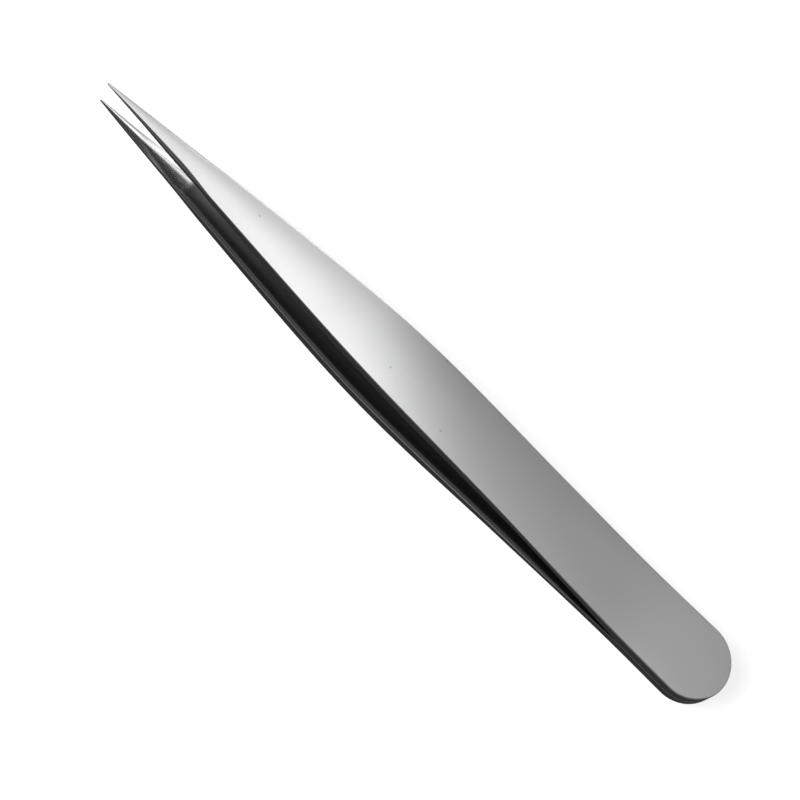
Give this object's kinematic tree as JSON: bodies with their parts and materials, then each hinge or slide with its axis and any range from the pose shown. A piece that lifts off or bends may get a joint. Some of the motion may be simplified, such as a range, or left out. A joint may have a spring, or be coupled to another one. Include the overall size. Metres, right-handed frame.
{
  "type": "precision tweezers",
  "caption": "Straight fine-point precision tweezers: mirrored sprung stainless arms, flat and rounded where they are welded at the tail, closing at needle points when squeezed.",
  "frame": {"origin": "half way along the tweezers and across their width, on the parting plane between the two arms", "axes": "+X along the tweezers from the tail to the points, +Z from the lower arm to the upper arm, +Y across the width"},
  "size_m": [0.11, 0.0108, 0.0086],
  "materials": {
    "satin_steel": "satin ground stainless steel, finely cross-ground near the points, bright with darker edges",
    "weld_steel": "as-fused weld nugget, dull grey, hidden between the tangs"
  },
  "bodies": {
    "tail": {"upper_tang": "satin_steel", "lower_tang": "satin_steel", "spot_welds": "weld_steel"},
    "upper_blade": {"upper_arm": "satin_steel"},
    "lower_blade": {"lower_arm": "satin_steel"}
  },
  "joints": [
    {"name": "upper_squeeze", "type": "hinge", "parent": "tail", "child": "upper_blade", "pos_m": [-0.02475, 0, 0.002], "axis": [0, 1, 0], "range_deg": [0, 1.68], "stiffness_Nm_per_rad": 1},
    {"name": "lower_squeeze", "type": "hinge", "parent": "tail", "child": "lower_blade", "pos_m": [-0.02475, 0, -0.002], "axis": [0, -1, 0], "range_deg": [0, 1.68], "stiffness_Nm_per_rad": 1}
  ],
  "couplings": [
    {"joint": "lower_squeeze", "follows": "upper_squeeze", "ratio": 1}
  ]
}
